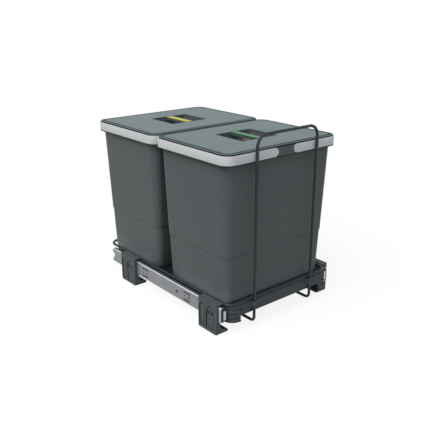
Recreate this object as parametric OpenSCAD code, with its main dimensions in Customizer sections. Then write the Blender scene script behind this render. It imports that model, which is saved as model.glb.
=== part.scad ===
// Pull out bin frame for a kitchen base cabinet.
// Four brackets stand on the cabinet floor and carry two ball-bearing runners.
// A wire and rail carriage slides out on them with two lidded buckets.
// X is across the cabinet, Y runs from the front to the back, Z is up.
// The origin is on the cabinet floor, under the middle of the whole object.

/* [Overall] */
// Width over the outer faces of the brackets
base_w = 321; // [300:1:420]
// Height of the buckets' undersides above the cabinet floor
bucket_z = 54; // [50:1:75]
// Gap between touching pieces that are assembled with play
play = 0.2; // [0.1:0.05:0.3]

/* [Bucket] */
// Width of the rim across the cabinet
rim_w = 300; // [280:1:320]
// Depth of one rim from front to back
rim_d = 226; // [200:1:250]
// Corner radius of the rim, seen from above
rim_r = 22; // [16:1:30]
// Gap between the front rim and the rear rim
rim_gap = 3; // [2:0.5:10]
// Height from the bucket's underside to the underside of its rim flange
bucket_h = 282; // [240:1:320]
// How far each wall stands in from the rim at the top of the bucket
top_inset = 8.5; // [6:0.5:12]
// How far each wall stands in from the rim at the bottom of the bucket
base_inset = 18.5; // [14:0.5:24]
// Height of the belt line above the bucket's underside
belt_h = 98; // [60:1:140]
// Depth of the step at the belt line
belt_step = 1.1; // [0.4:0.1:1.5]
// Thickness of the bucket's wall and floor
wall = 2.2; // [1.8:0.1:3]
// Radius between the bucket's walls and its floor
foot_r = 5; // [3:0.5:8]

/* [Rim] */
// Height of the light band round the rim
band_h = 18; // [14:0.5:24]
// Thickness of the light band
band_t = 2; // [1.5:0.1:3]
// Thickness of the flange that the band stands on
flange_t = 2.2; // [1.8:0.1:3]
// Height of the collar's top edge below the band's top edge
collar_drop = 1.5; // [1:0.1:3]
// Half width of the grip that interrupts the band at the front
grip_half = 20.6; // [14:0.2:30]
// Width of each groove in the grip
grip_groove = 1.2; // [0.8:0.1:2]

/* [Lid] */
// Width of the lid's dark edge
edge_w = 9.5; // [6:0.5:12]
// Thickness of the lid's dark edge
edge_t = 4; // [2:0.1:5]
// Depth of the skirt that centres the lid in the collar
skirt_h = 8; // [5:0.5:12]
// Thickness of the lid's panel
panel_t = 1.9; // [1.5:0.1:2.2]
// Width of the hole for the handle well
well_w = 97; // [70:1:110]
// Depth of the hole for the handle well from front to back
well_d = 86; // [60:1:90]
// Depth of the handle well below the panel's top
well_h = 20; // [14:1:26]
// How far the well's centre stands behind the lid's centre
well_back = 0; // [0:1:10]
// Width of the bar across the well
bar_w = 14; // [10:1:18]
// Thickness of the bar across the well
bar_t = 5.5; // [4:0.5:8]
// Width of the coloured tab
tab_w = 10; // [6:0.5:12]
// Length of the coloured tab
tab_l = 76; // [50:1:80]

/* [Runner] */
// Length of the runner's outer member
runner_l = 400; // [350:5:430]
// Height of the runner
runner_h = 32; // [31:0.5:38]
// Thickness of the closed runner
runner_t = 12.7; // [12.5:0.1:14]
// Height of the runner's underside above the cabinet floor
runner_z = 25.5; // [25:0.5:32]
// Distance of the runner's front end behind the front rim
runner_set = 12; // [6:1:20]
// Thickness of the runner's steel
sheet = 1.2; // [1:0.05:1.4]
// Thickness of the ball cages
cage_t = 0.6; // [0.5:0.05:0.7]
// Gap between members and cages
run_gap = 0.3; // [0.25:0.05:0.35]
// Diameter of the balls
ball_d = 2.6; // [2.4:0.1:2.8]
// Balls in one row of a cage
ball_count = 6; // [3:1:8]
// Length of the buffer at the back of the outer member
buffer_l = 8; // [5:1:12]

/* [Bracket] */
// Length of a bracket from front to back
bracket_l = 56; // [50:1:70]
// Height of a bracket
bracket_h = 64.5; // [62:0.5:76]
// Width of a bracket's foot across the cabinet
foot_w = 31; // [28:0.5:36]
// Thickness of a bracket's foot
foot_t = 4; // [3:0.5:6]
// Distance from a bracket's outer face to the runner
seat_t = 7.5; // [6.5:0.5:10]
// Thickness of a bracket's walls and ribs
rib_t = 2.6; // [2:0.1:3.2]
// Distance of the front bracket behind the runner's front end
front_set = 5; // [2:1:15]
// Distance of the rear bracket before the runner's rear end
rear_set = 50; // [20:1:80]
// Diameter of the holes for the floor screws
floor_hole_d = 5.2; // [4:0.1:6]
// Distance between the two floor screws of a bracket
floor_hole_pitch = 32; // [24:1:38]

/* [Carriage] */
// Diameter of the hoop's and the ring's wire
wire_d = 6; // [5:0.5:7]
// Width of the ring between its wire's centre lines
ring_w = 280; // [279:0.5:282]
// Distance of the ring's rear wire behind the front rim
ring_back = 444; // [442:1:470]
// Radius of the ring's corners
ring_r = 22; // [16:1:30]
// Thickness of the side rails' steel
rail_t = 1.5; // [1.2:0.1:2]
// Height of the side rails' lower edge above the cabinet floor
rail_z = 28; // [26:0.5:30]
// Width of the side rails' flanges
rail_flange = 7; // [5:0.5:8]
// Half length of the front rail
apron_half = 112.5; // [96:0.5:113]
// Height of the front rail's lower edge above the cabinet floor
apron_z = 35; // [30:0.5:42]
// Thickness of the front rail and the corner blocks
apron_t = 3; // [2:0.1:4]
// Height of the corner blocks' lower edge above the cabinet floor
block_z = 23; // [16:0.5:26]
// Length of a corner block's side from front to back
block_l = 40; // [34:1:50]
// Depth of the shelf under the front bucket's edge
shelf_d = 28; // [26:1:32]
// Thickness of the shelf under the front bucket's edge
shelf_t = 2; // [1.5:0.1:3]
// Width of the cross rail under the gap between the buckets
cross_rail_w = 70; // [60:1:90]

/* [Hoop] */
// Width of the hoop between its wire's centre lines
hoop_w = 160; // [120:1:180]
// Height of the hoop's top wire above the cabinet floor
hoop_h = 387; // [370:1:420]
// Gap between the hoop's wire and the front rim
hoop_gap = 1.4; // [1:0.1:5]
// Radius of the hoop's top corners
hoop_r = 22; // [14:1:30]
// Height of the hook's lower wire above the cabinet floor
hook_z = 13; // [10:0.5:18]
// Radius of the hook's bends
hook_r = 10; // [8:1:14]
// Distance of the hook's rear end behind the front rim
hook_back = 60; // [45:1:80]

/* [Hidden] */
$fn = 48;
// Overlap of a cut past the face it opens
cut = 1;
// Thinnest slice used to blend outlines
slice = 0.01;
fine = 32;

// Places along Y
clip_wall = 2.2;
hoop_proud = hoop_gap + wire_d + clip_wall;
rim_y0 = -(2 * rim_d + rim_gap - hoop_proud) / 2;
hoop_y = rim_y0 - hoop_gap - wire_d / 2;
apron_y = hoop_y + wire_d / 2 + play;
runner_y0 = rim_y0 + runner_set;
runner_y1 = runner_y0 + runner_l;
front_bracket_y = runner_y0 + front_set;
gap_y = rim_y0 + rim_d + rim_gap / 2;
rear_bracket_y = runner_y1 - rear_set - bracket_l;

// Places across X, on the right-hand side
bracket_x = base_w / 2;
runner_x = bracket_x - seat_t;
rail_x = runner_x - runner_t;

// Runner section: u is the depth in from the outer member's web, v the height from the middle
groove_r = ball_d / 2 + run_gap;
outer_cage_u = sheet + run_gap;
middle_u = outer_cage_u + cage_t + run_gap;
inner_cage_u = middle_u + sheet + run_gap;
inner_u = inner_cage_u + cage_t + run_gap;
race_edge = 0.5;
ball_u = inner_u + groove_r + race_edge;
race_u = ball_u + groove_r + race_edge;
race_skin = sheet - play / 2;
outer_ball_v = runner_h / 2 - race_skin - groove_r;
inner_ball_v = outer_ball_v - 2 * groove_r - race_skin;
race_off = cage_t / 2 + run_gap;
inner_v = inner_ball_v - race_off;
inner_low_v = inner_ball_v - groove_r - race_skin;
runner_mid = runner_z + runner_h / 2;
bend_r = 2.4;
buffer_gap = 2;
buffer_h = 14;
buffer_notch_d = 10;
buffer_y = runner_y1 - buffer_l - buffer_gap;
cage_share = 0.4;
cage_y = runner_y0 + runner_l / 4 + buffer_gap;
cage_l = cage_share * runner_l;
end_balls = 2 * ball_d;
ball_pitch = (cage_l - 2 * end_balls) / (ball_count - 1);
inner_nose = 2;
nose_h = 20;
nose_in = 1.9;
nose_r = 1.5;

// Punched holes of the outer member, measured back from its front end
slot_l = 23;
slot_w = 3;
slot_v = 8.3;
pilot_front_d = 4.6;
pilot_rear_d = 3.2;
pilot_pitch = 14;
front_slots = 108;
rear_slots = 261;
access_set = 142.5;
access_l = 8;
access_w = 5;
notch_h = 16;

// Screws
member_screw_d = 4;
member_screw_pitch = 11;
member_head_d = 6.4;
screw_head_d = 7.6;
screw_head_h = 2;
rail_screw_set = [80, 210, 360];
drive_w = 2;
drive_h = 1;
drive_l = 3.6;

// Brackets
panel_depth = 0.9;
panel_groove_w = 1.4;
panel_groove = 1.2;
panel_tall = 48;
panel_low = 7;
wide_panel_w = 23.5;
wide_panel_set = 7;
narrow_panel_w = 17;
narrow_panel_set = 4.5;
core_hole_d = 3;
core_hole_z = 27.7;
boss_d = 12.4;
ledge_w = 8.5;
ledge_t = 2.8;
arch_in = 2.5;
arch_rise = 1.5;
hood_gap = 1.5;
edge_r = 1.5;
floor_screw_set = 7;
floor_screw_x = bracket_x - foot_w + floor_screw_set;

// Carriage
rail_rise = 3.7;
rail_top = bucket_z + rail_rise;
ring_z = rail_top + play + wire_d / 2;
ring_front_y = apron_y + wire_d / 2;
rail_front_y = apron_y + block_l + play;
rail_short = 4;
rail_back_y = runner_y1 - rail_short;
shelf_z = bucket_z - play - shelf_t;
wire_z = bucket_z - play - wire_d / 2;
cross_wire_set = [hook_back, 165, 290, 400];
long_wire_x = 46;
block_in = 2.3;
block_x = rail_x - block_in;
block_boss_inset = 2;
block_r = ring_r;
tongue_end_y = rim_y0 + hook_back - wire_d;
tongue_t = 4.5;
block_top_t = 2;
block_flange = 5.5;
lip_t = 1.5;
lip_h = 2.5;
groove_rows = [28, 37.5];
groove_tall = 4;
groove_depth = 1.6;
groove_x = 121;
groove_reach = 15;
neck_drop = 10;
fin_t = 2;
fin_foot = 5;
fin_set = [-96, -60, -20, 20, 60, 96];
bead_d = 6;
weld_tab_w = 20;
weld_tab_h = 17;
clip_h = 13;
clip_z = 44.5;
clip_plate_w = 24;
clip_plate_t = 2;

// Buckets and lids
rim_top = bucket_z + bucket_h + flange_t + band_h;
band_z = rim_top - band_h;
collar_w = rim_w - 2 * band_t - 2 * play;
collar_d = rim_d - 2 * band_t - 2 * play;
collar_r = rim_r - band_t - play;
collar_top = rim_top - collar_drop;
mouth_w = collar_w - 2 * wall;
mouth_d = collar_d - 2 * wall;
mouth_r = collar_r - wall;
lid_z = collar_top + play;
lid_top = lid_z + edge_t;
skirt_t = 1.8;
skirt_w = mouth_w - 4 * play;
skirt_d = mouth_d - 4 * play;
skirt_r = mouth_r - 2 * play;
ledge_in = 8;
seam_set = 6;
seam_w = 1.6;
seam_depth = 1.6;
lip_under = 2;
panel_w = collar_w - 2 * edge_w;
panel_d = collar_d - 2 * edge_w;
panel_r = collar_r - edge_w;
panel_z = lid_top - panel_t;
well_r = 4;
well_wall = 1.8;
well_flange = 3;
tab_t = 1.4;
tab_sink = 1;
grip_depth = band_t;

// Rounded rectangle about the origin, made of true arcs
module rounded(w, d, r) {
    square([w - 2 * r, d], center = true);
    square([w, d - 2 * r], center = true);
    for (sx = [-1, 1], sy = [-1, 1])
        translate([sx * (w / 2 - r), sy * (d / 2 - r)])
            circle(r);
}

module plate(w, d, r, z0, h) {
    translate([0, 0, z0])
        linear_extrude(h)
            rounded(w, d, r);
}

// Closed band between two rounded rectangles
module ring_plate(w, d, r, t, z0, h) {
    translate([0, 0, z0])
        linear_extrude(h)
            difference() {
                rounded(w, d, r);
                rounded(w - 2 * t, d - 2 * t, r - t);
            }
}

// Draws a right-hand piece, or its mirror image on the left
module on_side(side) {
    mirror([side < 0 ? 1 : 0, 0, 0])
        children();
}

// Extrudes an outline drawn in X and Z from y0 to y1
module along_y(y0, y1) {
    translate([0, y1, 0])
        rotate([90, 0, 0])
            linear_extrude(y1 - y0)
                children();
}

module rod_x(x0, x1, d) {
    translate([x0, 0, 0])
        rotate([0, 90, 0])
            cylinder(d = d, h = x1 - x0);
}

module rod_y(y0, y1, d) {
    translate([0, y1, 0])
        rotate([90, 0, 0])
            cylinder(d = d, h = y1 - y0);
}

module rod_z(z0, z1, d) {
    translate([0, 0, z0])
        cylinder(d = d, h = z1 - z0);
}

// Quarter bend of round wire in the XY plane, from +X to +Y
module elbow(r, d) {
    rotate_extrude(angle = 90)
        translate([r, 0])
            circle(d = d);
}

// Right-hand runner section placed in the row frame
module runner_section() {
    translate([runner_x, runner_mid])
        mirror([1, 0])
            children();
}

// Pair of outlines above and below the runner's middle
module both_races() {
    for (s = [0, 1])
        mirror([0, s])
            children();
}

module box_2d(u0, v0, u1, v1) {
    translate([u0, v0])
        square([u1 - u0, v1 - v0]);
}

module outer_outline() {
    difference() {
        union() {
            box_2d(0, -runner_h / 2 + bend_r, race_u, runner_h / 2 - bend_r);
            box_2d(bend_r, -runner_h / 2, race_u, runner_h / 2);
            for (s = [-1, 1])
                translate([bend_r, s * (runner_h / 2 - bend_r)])
                    circle(bend_r);
        }
        box_2d(sheet, -outer_ball_v - race_off, race_u + cut, outer_ball_v + race_off);
        both_races()
            translate([ball_u, outer_ball_v])
                circle(groove_r);
    }
}

module middle_outline() {
    box_2d(middle_u, -inner_ball_v - race_off, middle_u + sheet, inner_ball_v + race_off);
    both_races()
        difference() {
            box_2d(middle_u, inner_ball_v + race_off, race_u, outer_ball_v - race_off);
            translate([ball_u, outer_ball_v])
                circle(groove_r);
            translate([ball_u, inner_ball_v])
                circle(groove_r);
        }
}

module inner_outline() {
    box_2d(runner_t - sheet, -inner_v, runner_t, inner_v);
    both_races()
        difference() {
            box_2d(inner_u, inner_low_v, runner_t - sheet, inner_v);
            translate([ball_u, inner_ball_v])
                circle(groove_r);
        }
}

// Slot along Y through the outer member's web
module web_slot(y, v, l, w) {
    translate([runner_x - 2 * sheet, y, runner_mid + v])
        rotate([0, 90, 0])
            linear_extrude(3 * sheet) {
                square([w, l - w], center = true);
                for (s = [-1, 1])
                    translate([0, s * (l - w) / 2])
                        circle(d = w);
            }
}

module web_hole(y, d) {
    translate([0, y, runner_mid])
        rod_x(runner_x - 2 * sheet, runner_x + sheet, d);
}

module slot_group(y) {
    for (v = [-slot_v, slot_v])
        web_slot(y, v, slot_l, slot_w);
    web_hole(y - pilot_pitch / 2, pilot_front_d);
    web_hole(y + pilot_pitch / 2, pilot_rear_d);
}

// Middle of a bracket's wide panel, where it is screwed to the runner
function panel_y(y0) = y0 + wide_panel_set + wide_panel_w / 2;

function member_screw_ys() = [
    for (y0 = [front_bracket_y, rear_bracket_y], s = [-1, 1])
        panel_y(y0) + s * member_screw_pitch / 2
];

module outer_member(side) {
    color("silver")
        on_side(side)
            difference() {
                along_y(runner_y0, runner_y1)
                    runner_section()
                        outer_outline();
                slot_group(runner_y0 + front_slots);
                slot_group(runner_y0 + rear_slots);
                web_slot(runner_y0 + access_set, 0, access_l, access_w);
                for (y = member_screw_ys())
                    web_hole(y, member_screw_d + play);
                translate([0, runner_y1, runner_mid])
                    rod_x(runner_x - 2 * sheet, runner_x + sheet, notch_h);
            }
}

// Screws that clamp the outer member to its brackets from outside
module member_screws(side) {
    head_x = bracket_x - panel_depth - play;
    color("dimgray")
        on_side(side)
            for (y = member_screw_ys())
                translate([0, y, runner_mid])
                    difference() {
                        union() {
                            rod_x(runner_x - sheet, head_x - slice, member_screw_d);
                            rod_x(head_x - screw_head_h, head_x, member_head_d);
                        }
                        for (a = [0, 90])
                            rotate([a, 0, 0])
                                translate([head_x, 0, 0])
                                    cube([2 * drive_h, drive_l, drive_w / 2], center = true);
                    }
}

module rear_buffer(side) {
    color("black")
        on_side(side)
            translate([runner_x - sheet, buffer_y, runner_mid])
                difference() {
                    translate([-race_u + 2 * sheet, 0, -buffer_h / 2])
                        cube([race_u - 2 * sheet, buffer_l, buffer_h]);
                    translate([-race_u, buffer_l, 0])
                        rod_x(0, race_u + cut, buffer_notch_d);
                }
}

// Bumper on the front end of the middle member, open round the inner member
module front_bumper(side) {
    color("black")
        on_side(side)
            along_y(runner_y0 - inner_nose + run_gap, runner_y0 + play)
                runner_section()
                    difference() {
                        box_2d(outer_cage_u, -outer_ball_v, runner_t - run_gap, outer_ball_v);
                        box_2d(inner_u - run_gap, -inner_v - run_gap, runner_t, inner_v + run_gap);
                    }
}

function ball_row(i) = cage_y + end_balls + i * ball_pitch;

module cage(side, u0, ball_v) {
    color("gainsboro")
        on_side(side)
            difference() {
                along_y(cage_y, cage_y + cage_l)
                    runner_section()
                        difference() {
                            box_2d(u0, -ball_v - cage_t / 2, race_u - play, ball_v + cage_t / 2);
                            box_2d(u0 + cage_t, -ball_v + cage_t / 2, race_u, ball_v - cage_t / 2);
                        }
                for (i = [0 : ball_count - 1], s = [-1, 1])
                    translate([runner_x - ball_u, ball_row(i), runner_mid + s * ball_v])
                        rod_z(-cage_t, cage_t, ball_d + play);
            }
}

module balls(side, ball_v) {
    color("white")
        on_side(side)
            for (i = [0 : ball_count - 1], s = [-1, 1])
                translate([runner_x - ball_u, ball_row(i), runner_mid + s * ball_v])
                    sphere(d = ball_d);
}

module middle_member(side) {
    color("silver")
        on_side(side)
            along_y(runner_y0 + play, buffer_y - play)
                runner_section()
                    middle_outline();
}

function rail_screw_ys() = [for (s = rail_screw_set) rim_y0 + s];

// Slides inside the middle member; a tab across its front end stops against the bumper
module inner_member(side) {
    nose_w = runner_t - inner_u - nose_in;
    nose_y = runner_y0 - inner_nose;
    color("gainsboro")
        on_side(side) {
            difference() {
                along_y(nose_y, buffer_y - play)
                    runner_section()
                        inner_outline();
                for (y = rail_screw_ys())
                    translate([0, y, runner_mid])
                        rod_x(rail_x - cut, rail_x + 2 * sheet, member_screw_d + play);
            }
            along_y(nose_y - sheet, nose_y)
                translate([rail_x + nose_in + nose_w / 2, runner_mid])
                    rounded(nose_w, nose_h, nose_r);
        }
}

// Outline of a bracket's arched panel, drawn in by a distance
module arch(w, inset) {
    half = w / 2 - inset;
    spring = panel_tall - w / 2;
    translate([-half, inset])
        square([2 * half, spring - inset]);
    translate([0, spring])
        circle(half);
}

// Arched recess in a bracket's outer face, with a deeper groove along its outline
module arch_panel(y, w) {
    translate([bracket_x - panel_depth, y, panel_low])
        rotate([90, 0, 90]) {
            linear_extrude(panel_depth + cut)
                arch(w, 0);
            translate([0, 0, -panel_groove])
                linear_extrude(panel_depth + panel_groove + cut)
                    difference() {
                        arch(w, 0);
                        arch(w, panel_groove_w);
                    }
        }
}

module bracket_ribs(y0) {
    half = (bracket_l - rib_t) / 2;
    for (dy = [0, half, 2 * half])
        translate([runner_x, y0 + dy, 0])
            cube([seat_t, rib_t, bracket_h]);
    for (s = [-1, 1])
        translate([0, panel_y(y0) + s * member_screw_pitch / 2, runner_mid])
            rod_x(runner_x, bracket_x, boss_d);
}

// Gusset from the ledge under the runner to the foot, with an arched inner edge
module gusset(y) {
    gusset_z = runner_z - ledge_t;
    arch_r = gusset_z - foot_t - arch_rise;
    arch_x = runner_x - arch_in - arch_r;
    along_y(y, y + rib_t)
        difference() {
            translate([arch_x, 0])
                square([bracket_x - arch_x, gusset_z]);
            translate([arch_x, gusset_z])
                circle(arch_r);
        }
}

module bracket(side, y0) {
    hood_x = (ring_w + wire_d) / 2 + hood_gap;
    head_x = bracket_x - panel_depth - play;
    color("dimgray")
        on_side(side)
            difference() {
                intersection() {
                    translate([bracket_x - foot_w / 2, y0 + bracket_l / 2, 0])
                        plate(foot_w, bracket_l, edge_r, 0, bracket_h);
                    union() {
                        translate([bracket_x - foot_w, y0, 0])
                            cube([foot_w, bracket_l, foot_t]);
                        translate([bracket_x - rib_t - panel_depth, y0, 0])
                            cube([rib_t + panel_depth, bracket_l, bracket_h]);
                        translate([hood_x, y0, bracket_h - rib_t])
                            cube([bracket_x - hood_x, bracket_l, rib_t]);
                        translate([runner_x - ledge_w, y0, runner_z - ledge_t])
                            cube([ledge_w + seat_t, bracket_l, ledge_t]);
                        bracket_ribs(y0);
                        gusset(y0);
                        gusset(y0 + bracket_l - rib_t);
                    }
                }
                arch_panel(y0 + wide_panel_set + wide_panel_w / 2, wide_panel_w);
                arch_panel(y0 + bracket_l - narrow_panel_set - narrow_panel_w / 2, narrow_panel_w);
                translate([0, panel_y(y0), core_hole_z])
                    rod_x(bracket_x - rib_t, bracket_x + cut, core_hole_d);
                for (s = [-1, 1]) {
                    translate([0, panel_y(y0) + s * member_screw_pitch / 2, runner_mid]) {
                        rod_x(runner_x - cut, bracket_x + cut, member_screw_d + play);
                        rod_x(head_x - screw_head_h - play, bracket_x + cut, member_head_d + 2 * play);
                    }
                    translate([floor_screw_x, y0 + bracket_l / 2 + s * floor_hole_pitch / 2, 0])
                        rod_z(-cut, foot_t + cut, floor_hole_d);
                }
            }
}

module side_rail(side) {
    color("dimgray")
        on_side(side)
            difference() {
                along_y(rail_front_y, rail_back_y) {
                    box_2d(rail_x - rail_t, rail_z, rail_x, rail_top);
                    box_2d(rail_x - rail_flange, rail_top - rail_t, rail_x, rail_top);
                    box_2d(rail_x - rail_flange, rail_z, rail_x, rail_z + rail_t);
                }
                for (y = rail_screw_ys())
                    translate([0, y, runner_mid])
                        rod_x(rail_x - 2 * rail_t, rail_x + cut, member_screw_d + play);
            }
}

module rail_screws(side) {
    color("silver")
        on_side(side)
            for (y = rail_screw_ys())
                translate([0, y, runner_mid])
                    difference() {
                        union() {
                            rod_x(rail_x - rail_t, rail_x + 2 * sheet, member_screw_d);
                            rod_x(rail_x - rail_t - screw_head_h, rail_x - rail_t, screw_head_d);
                        }
                        for (a = [0, 90])
                            rotate([a, 0, 0])
                                translate([rail_x - rail_t - screw_head_h, 0, 0])
                                    cube([2 * drive_h, drive_l, drive_w / 2], center = true);
                    }
}

// Plan of a corner block, moved outwards by grow
module block_plan(grow) {
    x1 = block_x + grow;
    y0 = apron_y - grow;
    r = block_r + grow;
    translate([apron_half, y0])
        square([x1 - r - apron_half, block_l + grow]);
    translate([apron_half, y0 + r])
        square([x1 - apron_half, block_l + grow - r]);
    translate([x1 - r, y0 + r])
        intersection() {
            circle(r);
            translate([0, -r])
                square(r);
        }
}

module block_wall(grow, t, z0, h) {
    translate([0, 0, z0])
        linear_extrude(h)
            difference() {
                block_plan(grow);
                translate([-cut, cut])
                    block_inside(grow - t);
            }
}

// Hollow of a corner block, open towards the middle and the back
module block_inside(grow) {
    x1 = block_x + grow + cut;
    y0 = apron_y - grow - cut;
    r = block_r + grow;
    translate([apron_half - block_l, y0])
        square([x1 - r - apron_half + block_l, 2 * block_l]);
    translate([apron_half - block_l, y0 + r])
        square([x1 - apron_half + block_l, 2 * block_l]);
    translate([x1 - r, y0 + r])
        circle(r);
}

// Blind groove round the outside of a corner block, from x0 to the side
module block_groove(x0, z, h, reach) {
    translate([0, 0, z])
        linear_extrude(h)
            intersection() {
                difference() {
                    block_plan(cut);
                    block_plan(-groove_depth);
                }
                translate([x0, apron_y - cut])
                    square([block_x + cut - x0, reach + cut]);
            }
}

module corner_block(side) {
    tongue_y0 = apron_y + block_l - apron_t;
    boss_v = inner_v - block_boss_inset;
    color("dimgray")
        on_side(side)
            difference() {
                union() {
                    block_wall(0, apron_t, block_z, rail_top - block_z);
                    block_wall(lip_t, apron_t + lip_t, block_z, lip_h);
                    block_wall(0, block_flange, rail_top - block_top_t, block_top_t);
                    translate([0, 0, shelf_z])
                        linear_extrude(shelf_t)
                            intersection() {
                                block_plan(-apron_t / 2);
                                translate([apron_half, apron_y])
                                    square([block_x - apron_half, shelf_d]);
                            }
                    translate([block_x - tongue_t, tongue_y0, rail_z + rail_t + play])
                        cube([
                            rail_x - rail_t - play - block_x + tongue_t,
                            tongue_end_y - tongue_y0,
                            rail_top - rail_z - 2 * rail_t - 2 * play
                        ]);
                    translate([block_x - apron_t, apron_y + block_r, runner_mid - boss_v])
                        cube([rail_x - block_x + apron_t - play, block_l - block_r, 2 * boss_v]);
                }
                for (z = groove_rows)
                    block_groove(groove_x, z, groove_tall, groove_reach);
                block_groove(apron_half - cut, rail_top - neck_drop, groove_tall, block_r);
            }
}

// Upright rib under the front rail's shelf
module fin(x) {
    translate([x - fin_t / 2, 0, 0])
        rotate([90, 0, 90])
            linear_extrude(fin_t)
                polygon([
                    [apron_y, apron_z],
                    [apron_y + fin_foot, apron_z],
                    [apron_y + shelf_d, shelf_z],
                    [apron_y + shelf_d, shelf_z + shelf_t],
                    [apron_y, shelf_z + shelf_t]
                ]);
}

module front_rail() {
    half = apron_half - play;
    tongue_z = apron_z + apron_t;
    tongue_h = shelf_z - play - tongue_z;
    color("dimgray") {
        translate([-half, apron_y, apron_z])
            cube([2 * half, apron_t, rail_top - apron_z]);
        for (z = [apron_z, rail_top - block_top_t])
            translate([-half, apron_y, z])
                cube([2 * half, bead_d, block_top_t]);
        translate([-half, apron_y, shelf_z])
            cube([2 * half, shelf_d, shelf_t]);
        for (x = fin_set)
            fin(x);
        for (side = [-1, 1])
            on_side(side) {
                translate([half - apron_t, apron_y + apron_t + play, tongue_z])
                    cube([2 * apron_t, apron_t, tongue_h]);
                translate([half - apron_t, apron_y, tongue_z])
                    cube([apron_t, 2 * apron_t, tongue_h]);
            }
    }
}

// Pressed strip between the side rails, with folded edges and tabs welded to the rails
module cross_rail() {
    half = rail_x - rail_t;
    top = bucket_z - play;
    fold_z = wire_z - wire_d / 2 + play;
    color("dimgray") {
        translate([-half, gap_y - cross_rail_w / 2, top - rail_t])
            cube([2 * half, cross_rail_w, rail_t]);
        for (y = [gap_y - cross_rail_w / 2, gap_y + cross_rail_w / 2 - rail_t])
            translate([-half, y, fold_z])
                cube([2 * half, rail_t, top - fold_z]);
        for (x = [-half, half - rail_t])
            translate([x, gap_y - weld_tab_w / 2, top - weld_tab_h])
                cube([rail_t, weld_tab_w, weld_tab_h]);
    }
}

module base_ring() {
    ring_y0 = ring_front_y;
    ring_y1 = rim_y0 + ring_back;
    corner_x = ring_w / 2 - ring_r;
    color("dimgray")
        translate([0, 0, ring_z]) {
            for (y = [ring_y0, ring_y1])
                translate([0, y, 0])
                    rod_x(-corner_x, corner_x, wire_d);
            for (x = [-ring_w / 2, ring_w / 2])
                translate([x, 0, 0])
                    rod_y(ring_y0 + ring_r, ring_y1 - ring_r, wire_d);
            for (side = [-1, 1])
                on_side(side) {
                    translate([corner_x, ring_y1 - ring_r, 0])
                        elbow(ring_r, wire_d);
                    translate([corner_x, ring_y0 + ring_r, 0])
                        rotate([0, 0, -90])
                            elbow(ring_r, wire_d);
                }
        }
}

// Wires under the buckets: four across, two lengthwise below them
module base_wires() {
    cross_x = rail_x - rail_t;
    long_y0 = rim_y0 + cross_wire_set[0] - 2 * wire_d;
    long_y1 = rim_y0 + cross_wire_set[3] + 2 * wire_d;
    color("dimgray") {
        for (s = cross_wire_set)
            translate([0, rim_y0 + s, wire_z])
                rod_x(-cross_x, cross_x, wire_d);
        for (x = [-long_wire_x, long_wire_x])
            translate([x, 0, wire_z - wire_d - play])
                rod_y(long_y0, long_y1, wire_d);
    }
}

module pull_hoop() {
    foot_y = rim_y0 + hook_back;
    color("dimgray")
        for (side = [-1, 1])
            on_side(side) {
                translate([0, hoop_y, hoop_h])
                    rod_x(-slice, hoop_w / 2 - hoop_r, wire_d);
                translate([hoop_w / 2 - hoop_r, hoop_y, hoop_h - hoop_r])
                    rotate([90, 0, 0])
                        elbow(hoop_r, wire_d);
                translate([hoop_w / 2, hoop_y, 0])
                    rod_z(hook_z + hook_r, hoop_h - hoop_r, wire_d);
                translate([hoop_w / 2, hoop_y + hook_r, hook_z + hook_r])
                    rotate([90, 0, 90])
                        rotate([0, 0, 180])
                            elbow(hook_r, wire_d);
                translate([hoop_w / 2, 0, hook_z])
                    rod_y(hoop_y + hook_r, foot_y - hook_r, wire_d);
                translate([hoop_w / 2, foot_y - hook_r, hook_z + hook_r])
                    rotate([90, 0, 90])
                        rotate([0, 0, 270])
                            elbow(hook_r, wire_d);
                translate([hoop_w / 2, foot_y, 0])
                    rod_z(hook_z + hook_r, wire_z - wire_d / 2 - play, wire_d);
            }
}

module hoop_clips() {
    color("dimgray")
        for (x = [-hoop_w / 2, hoop_w / 2])
            translate([x, hoop_y, clip_z])
                difference() {
                    union() {
                        rod_z(0, clip_h, wire_d + 2 * clip_wall);
                        translate([-clip_plate_w / 2, wire_d / 2 + play - clip_plate_t, 0])
                            cube([clip_plate_w, clip_plate_t, clip_h]);
                    }
                    rod_z(-cut, clip_h + cut, wire_d + play);
                    translate([-(wire_d + play) / 2, 0, -cut])
                        cube([wire_d + play, wire_d, clip_h + 2 * cut]);
                    translate([-clip_plate_w, wire_d / 2 + play, -cut])
                        cube([2 * clip_plate_w, clip_plate_w, clip_h + 2 * cut]);
                }
}

function bin_y(i) = rim_y0 + rim_d / 2 + i * (rim_d + rim_gap);

// Outline slice of a bucket: inset from the rim at a height above its underside
module bucket_slice(inset, h) {
    translate([0, 0, bucket_z + h])
        linear_extrude(slice)
            rounded(rim_w - 2 * inset, rim_d - 2 * inset, max(rim_r - inset / 2, 2), $fn = fine);
}

// Inset of the wall at a height on its straight taper
function taper(h) = base_inset + (top_inset - base_inset) * h / bucket_h;

module bucket_blend(h0, h1, extra) {
    hull() {
        bucket_slice(taper(h0) + extra, h0);
        bucket_slice(taper(h1) + extra, h1);
    }
}

// Lower part of the bucket up to its belt, with rounded edges, moved in and up by skin
module bucket_foot(skin) {
    hull() {
        for (a = [0, 30, 60, 90])
            bucket_slice(taper(0) + belt_step + skin + foot_r * (1 - sin(a)), skin + foot_r * (1 - cos(a)));
        bucket_slice(taper(belt_h) + belt_step + skin, belt_h);
    }
}

module bucket(i) {
    color("dimgray")
        translate([0, bin_y(i), 0])
            difference() {
                union() {
                    bucket_foot(0);
                    bucket_blend(belt_h, bucket_h, 0);
                    plate(rim_w, rim_d, rim_r, bucket_z + bucket_h, flange_t);
                    plate(collar_w, collar_d, collar_r, band_z, collar_top - band_z);
                    grip_pad();
                }
                bucket_foot(wall);
                bucket_blend(belt_h - slice, bucket_h + flange_t + slice, wall);
                plate(mouth_w, mouth_d, mouth_r, band_z, band_h);
            }
}

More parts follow.
